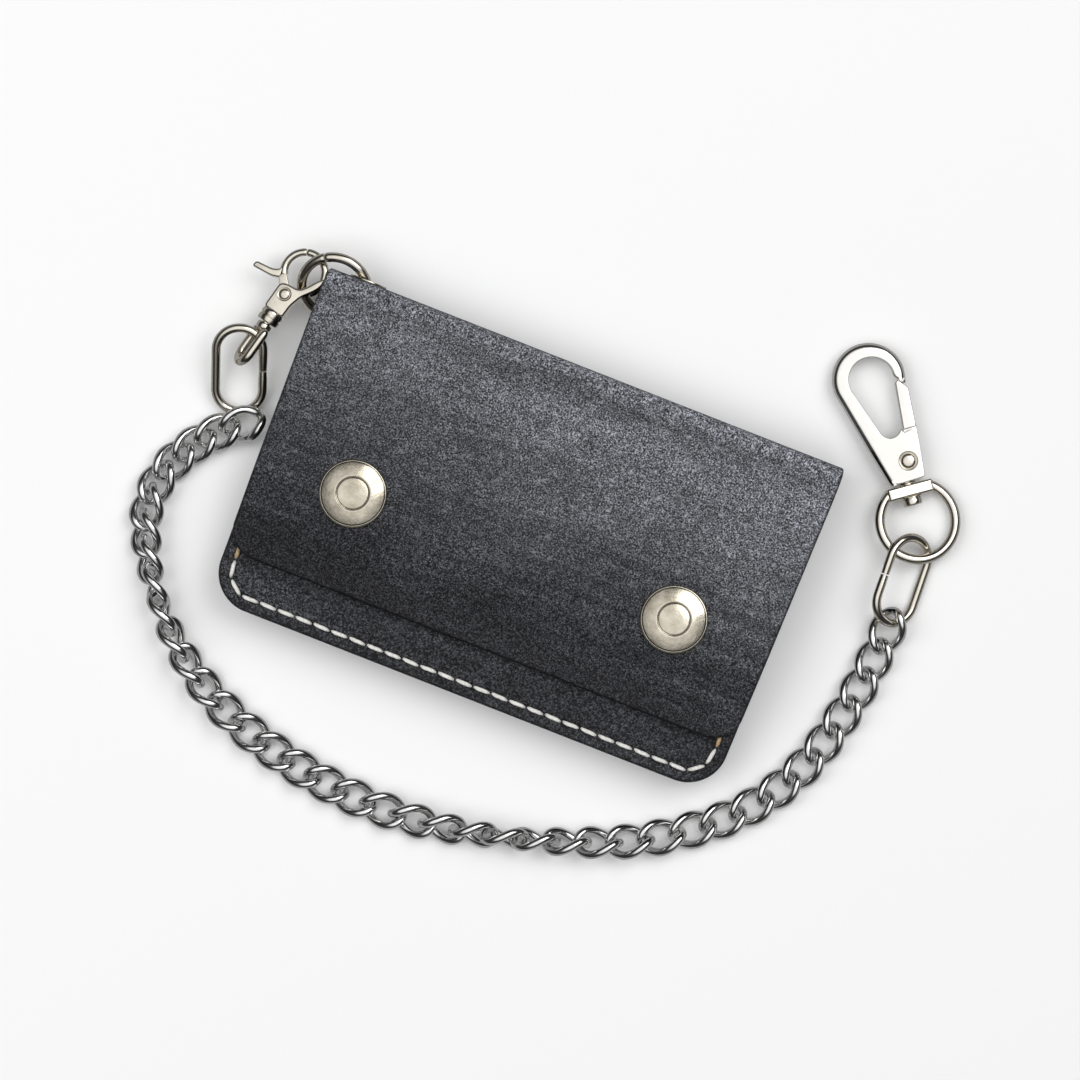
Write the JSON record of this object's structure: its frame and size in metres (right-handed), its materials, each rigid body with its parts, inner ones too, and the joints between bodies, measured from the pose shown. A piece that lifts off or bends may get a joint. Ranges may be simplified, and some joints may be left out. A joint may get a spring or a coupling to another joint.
{
  "type": "chain wallet",
  "caption": "Leather wallet with a snap-down flap, a ring through its spine, and a curb chain that ends in a trigger hook and a swivelling belt hook.",
  "frame": {"origin": "centre of the wallet's flat back face, which lies on the surface the object rests on", "axes": "+X along the spine towards the belt-hook side, +Y from the bottom edge to the spine, +Z out of the back face, up through the flap"},
  "size_m": [0.1877, 0.1517, 0.0193],
  "materials": {
    "dark_leather": "oiled full-grain leather, near-black navy with a pale dusty fleck and burnished black edges",
    "nickel_silver": "warm nickel silver, lightly brushed and polished",
    "curb_steel": "bright polished curb chain, slightly cooler and darker than the hooks",
    "white_thread": "thick waxed off-white thread",
    "tan_thread": "waxed tan thread"
  },
  "bodies": {
    "wallet": {"cover_back": "dark_leather", "cover_spine": "dark_leather", "gusset": "dark_leather", "bill_divider": "dark_leather", "card_panel": "dark_leather", "pocket_face": "dark_leather", "stitch_front": "white_thread", "stitch_sides": "tan_thread", "stitch_back": "tan_thread", "snap_stud_left": "nickel_silver", "snap_stud_right": "nickel_silver", "snap_post_left": "nickel_silver", "snap_post_right": "nickel_silver", "grommet": "nickel_silver", "grommet_washer": "nickel_silver"},
    "flap": {"cover_flap": "dark_leather", "snap_cap_left": "nickel_silver", "snap_cap_right": "nickel_silver", "snap_socket_left": "nickel_silver", "snap_socket_right": "nickel_silver"},
    "spine_ring": {"wallet_ring": "nickel_silver"},
    "trigger": {"trigger_body": "nickel_silver", "trigger_rivet": "nickel_silver"},
    "lever": {"trigger_lever": "nickel_silver"},
    "swivel_eye": {"trigger_swivel": "nickel_silver"},
    "link_a": {"long_link_a": "nickel_silver"},
    "run_13": {"chain_13": "curb_steel"},
    "run_12": {"chain_12": "curb_steel"},
    "run_11": {"chain_11": "curb_steel"},
    "run_10": {"chain_10": "curb_steel"},
    "run_09": {"chain_09": "curb_steel"},
    "run_08": {"chain_08": "curb_steel"},
    "run_07": {"chain_07": "curb_steel"},
    "run_06": {"chain_06": "curb_steel"},
    "run_05": {"chain_05": "curb_steel"},
    "run_04": {"chain_04": "curb_steel"},
    "run_03": {"chain_03": "curb_steel"},
    "run_02": {"chain_02": "curb_steel"},
    "run_01": {"chain_01": "curb_steel"},
    "link_b": {"long_link_b": "nickel_silver"},
    "hook_ring": {"swivel_ring": "nickel_silver"},
    "hook": {"hook_body": "nickel_silver", "hook_rivet": "nickel_silver"},
    "gate": {"hook_gate": "nickel_silver"}
  },
  "joints": [
    {"name": "flap_fold", "type": "hinge", "parent": "wallet", "child": "flap", "pos_m": [0, 0.0407, 0.0157], "axis": [-1, 0, 0], "range_deg": [0, 178]},
    {"name": "ring_in_grommet", "type": "hinge", "parent": "wallet", "child": "spine_ring", "pos_m": [-0.0561, 0.0407, 0.00875], "axis": [0, 1, 0], "range_deg": [-2, 8]},
    {"name": "claw_on_ring", "type": "hinge", "parent": "spine_ring", "child": "trigger", "pos_m": [-0.07113, 0.03823, 0.00817], "axis": [-0.0607, -0.8669, -0.4948], "range_deg": [-4, 15]},
    {"name": "lever_pivot", "type": "hinge", "parent": "trigger", "child": "lever", "pos_m": [-0.0733, 0.03195, 0.0076], "axis": [-0.1518, 0.0378, 0.9877], "range_deg": [0, 35], "stiffness_Nm_per_rad": 0.02},
    {"name": "eye_swivel", "type": "hinge", "parent": "trigger", "child": "swivel_eye", "pos_m": [-0.0733, 0.03195, 0.0076], "axis": [0.2419, 0.9703, 0], "continuous": true},
    {"name": "link_a_on_eye", "type": "hinge", "parent": "swivel_eye", "child": "link_a", "pos_m": [-0.07773, 0.01419, 0.0076], "axis": [0.3993, -0.0996, 0.9114], "range_deg": [-4, 4.5]},
    {"name": "run_13_on_link_a", "type": "hinge", "parent": "link_a", "child": "run_13", "pos_m": [-0.07097, 0.00213, 0.0032], "axis": [-0.5592, 0.829, 0], "range_deg": [-5, 20]},
    {"name": "run_12_on_run_13", "type": "hinge", "parent": "run_13", "child": "run_12", "pos_m": [-0.08285, -0.0118, 0.00246], "axis": [0.8646, -0.5025, 0], "range_deg": [-20, 20]},
    {"name": "run_11_on_run_12", "type": "hinge", "parent": "run_12", "child": "run_11", "pos_m": [-0.08564, -0.03035, 0.00382], "axis": [-0.958, -0.2868, 0], "range_deg": [-20, 20]},
    {"name": "run_10_on_run_11", "type": "hinge", "parent": "run_11", "child": "run_10", "pos_m": [-0.07546, -0.04703, 0.00456], "axis": [0.773, 0.6344, 0], "range_deg": [-20, 20]},
    {"name": "run_09_on_run_10", "type": "hinge", "parent": "run_10", "child": "run_09", "pos_m": [-0.0598, -0.06105, 0.00393], "axis": [-0.5446, -0.8387, 0], "range_deg": [-20, 20]},
    {"name": "run_08_on_run_09", "type": "hinge", "parent": "run_09", "child": "run_08", "pos_m": [-0.03996, -0.06983, 0.00258], "axis": [0.2777, 0.9607, 0], "range_deg": [-20, 20]},
    {"name": "run_07_on_run_08", "type": "hinge", "parent": "run_08", "child": "run_07", "pos_m": [-0.01821, -0.07386, 0.00247], "axis": [-0.085, -0.9964, 0], "range_deg": [-20, 20]},
    {"name": "run_06_on_run_07", "type": "hinge", "parent": "run_07", "child": "run_06", "pos_m": [0.00408, -0.07347, 0.00387], "axis": [-0.1219, 0.9925, 0], "range_deg": [-10, 20]},
    {"name": "run_05_on_run_06", "type": "hinge", "parent": "run_06", "child": "run_05", "pos_m": [0.02602, -0.06865, 0.00456], "axis": [0.2756, -0.9613, 0], "range_deg": [-20, 20]},
    {"name": "run_04_on_run_05", "type": "hinge", "parent": "run_05", "child": "run_04", "pos_m": [0.04745, -0.06131, 0.00382], "axis": [-0.4007, 0.9162, 0], "range_deg": [-9, 20]},
    {"name": "run_03_on_run_04", "type": "hinge", "parent": "run_04", "child": "run_03", "pos_m": [0.06687, -0.0494, 0.00245], "axis": [0.6344, -0.773, 0], "range_deg": [-20, 20]},
    {"name": "run_02_on_run_03", "type": "hinge", "parent": "run_03", "child": "run_02", "pos_m": [0.08154, -0.0318, 0.00245], "axis": [-0.888, 0.4598, 0], "range_deg": [-20, 20]},
    {"name": "run_01_on_run_02", "type": "hinge", "parent": "run_02", "child": "run_01", "pos_m": [0.08808, -0.00963, 0.00245], "axis": [0.9856, -0.1693, 0], "range_deg": [-20, 20]},
    {"name": "link_b_on_run_01", "type": "hinge", "parent": "run_01", "child": "link_b", "pos_m": [0.0895, 0.01327, 0.00401], "axis": [0.9998, -0.0175, 0], "range_deg": [-7, 20]},
    {"name": "hook_ring_on_link_b", "type": "hinge", "parent": "link_b", "child": "hook_ring", "pos_m": [0.08383, 0.02856, 0.00626], "axis": [0.8184, 0.0357, -0.5736], "range_deg": [-4, 12]},
    {"name": "hook_swivel", "type": "hinge", "parent": "hook_ring", "child": "hook", "pos_m": [0.07835, 0.04851, 0.0033], "axis": [-0.596, 0.8025, -0.0279], "continuous": true},
    {"name": "gate_pivot", "type": "hinge", "parent": "hook", "child": "gate", "pos_m": [0.07955, 0.0494, 0.0033], "axis": [-0.0166, 0.0224, 0.9996], "range_deg": [0, 25], "stiffness_Nm_per_rad": 0.02}
  ]
}
